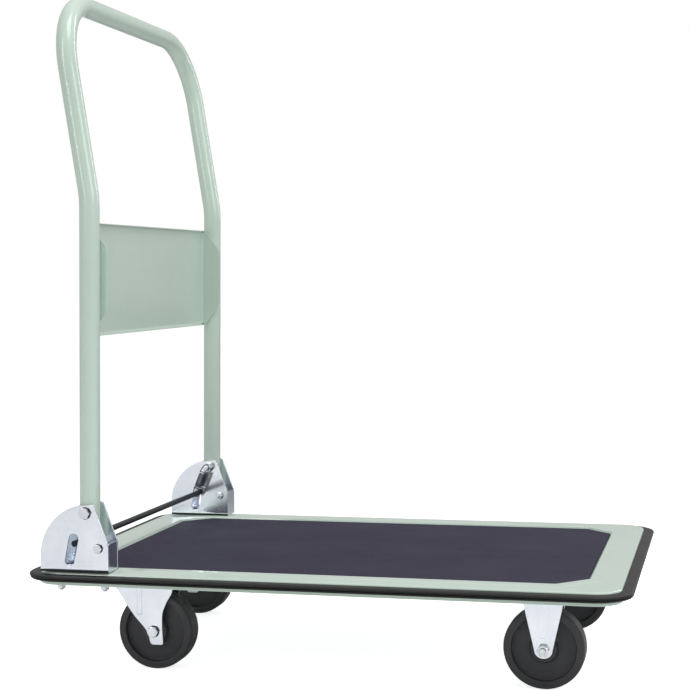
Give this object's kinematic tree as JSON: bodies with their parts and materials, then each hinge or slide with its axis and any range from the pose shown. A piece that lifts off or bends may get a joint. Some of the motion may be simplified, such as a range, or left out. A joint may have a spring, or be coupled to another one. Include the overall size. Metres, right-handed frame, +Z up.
{
  "type": "folding platform cart",
  "caption": "Flat platform cart with a rubber-edged steel deck, anti-slip mat, swivel and fixed casters, and a hoop handle that folds down over the deck.",
  "frame": {"origin": "on the floor under the middle of the platform", "axes": "+X from the handle end to the front end, +Z up, +Y across the cart"},
  "size_m": [0.762, 0.528, 0.8688],
  "materials": {
    "frame_paint": "semi-gloss enamel",
    "mat_vinyl": "embossed matt vinyl",
    "bumper_rubber": "satin rubber",
    "bright_zinc": "bright zinc plate",
    "fastener_zinc": "zinc plated hardware",
    "dark_steel": "oiled steel",
    "wheel_moulding": "satin moulding"
  },
  "bodies": {
    "platform": {"deck_pan": "frame_paint", "anti_slip_mat": "mat_vinyl", "edge_bumper": "bumper_rubber", "cross_member_rear": "frame_paint", "cross_member_front": "frame_paint", "centre_stiffener": "frame_paint", "hinge_pad_near": "bright_zinc", "hinge_pad_far": "bright_zinc", "hinge_bracket_near": "bright_zinc", "hinge_bracket_far": "bright_zinc", "bracket_bolt_near_a": "fastener_zinc", "bracket_bolt_far_a": "fastener_zinc", "bracket_bolt_near_b": "fastener_zinc", "bracket_bolt_far_b": "fastener_zinc", "bracket_nut_near_a": "fastener_zinc", "bracket_nut_far_a": "fastener_zinc", "bracket_nut_near_b": "fastener_zinc", "bracket_nut_far_b": "fastener_zinc", "pivot_bolt_near": "fastener_zinc", "pivot_bolt_far": "fastener_zinc", "pivot_nut_near": "fastener_zinc", "pivot_nut_far": "fastener_zinc", "stop_bolt_near": "fastener_zinc", "stop_bolt_far": "fastener_zinc", "stop_nut_near": "fastener_zinc", "stop_nut_far": "fastener_zinc", "latch_spring_near": "dark_steel", "latch_spring_far": "dark_steel", "rear_near_plate": "bright_zinc", "rear_far_plate": "bright_zinc", "rear_near_race": "bright_zinc", "rear_far_race": "bright_zinc", "rear_near_kingpin": "dark_steel", "rear_far_kingpin": "dark_steel", "front_near_bracket": "bright_zinc", "front_far_bracket": "bright_zinc", "front_near_axle_bolt": "fastener_zinc", "front_far_axle_bolt": "fastener_zinc", "front_near_axle_bush": "dark_steel", "front_far_axle_bush": "dark_steel", "front_near_axle_nut": "fastener_zinc", "front_far_axle_nut": "fastener_zinc"},
    "handle": {"handle_tube": "frame_paint", "handle_panel": "frame_paint"},
    "latch": {"latch_rod": "dark_steel", "latch_clip_near": "fastener_zinc", "latch_clip_far": "fastener_zinc"},
    "rear_near_swivel": {"rear_near_fork": "bright_zinc", "rear_near_axle_bolt": "fastener_zinc", "rear_near_axle_bush": "dark_steel", "rear_near_axle_nut": "fastener_zinc"},
    "rear_near_wheel_body": {"rear_near_wheel": "wheel_moulding"},
    "front_near_wheel_body": {"front_near_wheel": "wheel_moulding"},
    "rear_far_swivel": {"rear_far_fork": "bright_zinc", "rear_far_axle_bolt": "fastener_zinc", "rear_far_axle_bush": "dark_steel", "rear_far_axle_nut": "fastener_zinc"},
    "rear_far_wheel_body": {"rear_far_wheel": "wheel_moulding"},
    "front_far_wheel_body": {"front_far_wheel": "wheel_moulding"}
  },
  "joints": [
    {"name": "handle_fold", "type": "hinge", "parent": "platform", "child": "handle", "pos_m": [-0.2925, 0, 0.212], "axis": [0, 1, 0], "range_deg": [0, 97]},
    {"name": "latch_release", "type": "slide", "parent": "platform", "child": "latch", "axis": [-0.1961, 0, -0.9806], "range_m": [0, 0.021], "stiffness_N_per_m": 800, "springref_m": -0.01, "deforming": ["latch_spring_near", "latch_spring_far"]},
    {"name": "rear_near_caster_swivel", "type": "hinge", "parent": "platform", "child": "rear_near_swivel", "pos_m": [-0.2605, -0.1615, 0.118], "axis": [0, 0, 1], "continuous": true},
    {"name": "rear_near_wheel_spin", "type": "hinge", "parent": "rear_near_swivel", "child": "rear_near_wheel_body", "pos_m": [-0.2315, -0.1615, 0.05], "axis": [0, 1, 0], "continuous": true},
    {"name": "rear_far_caster_swivel", "type": "hinge", "parent": "platform", "child": "rear_far_swivel", "pos_m": [-0.2605, 0.1615, 0.118], "axis": [0, 0, 1], "continuous": true},
    {"name": "rear_far_wheel_spin", "type": "hinge", "parent": "rear_far_swivel", "child": "rear_far_wheel_body", "pos_m": [-0.2895, 0.1615, 0.05], "axis": [0, 1, 0], "continuous": true},
    {"name": "front_near_wheel_spin", "type": "hinge", "parent": "platform", "child": "front_near_wheel_body", "pos_m": [0.2695, -0.1615, 0.05], "axis": [0, 1, 0], "continuous": true},
    {"name": "front_far_wheel_spin", "type": "hinge", "parent": "platform", "child": "front_far_wheel_body", "pos_m": [0.2695, 0.1615, 0.05], "axis": [0, 1, 0], "continuous": true}
  ]
}
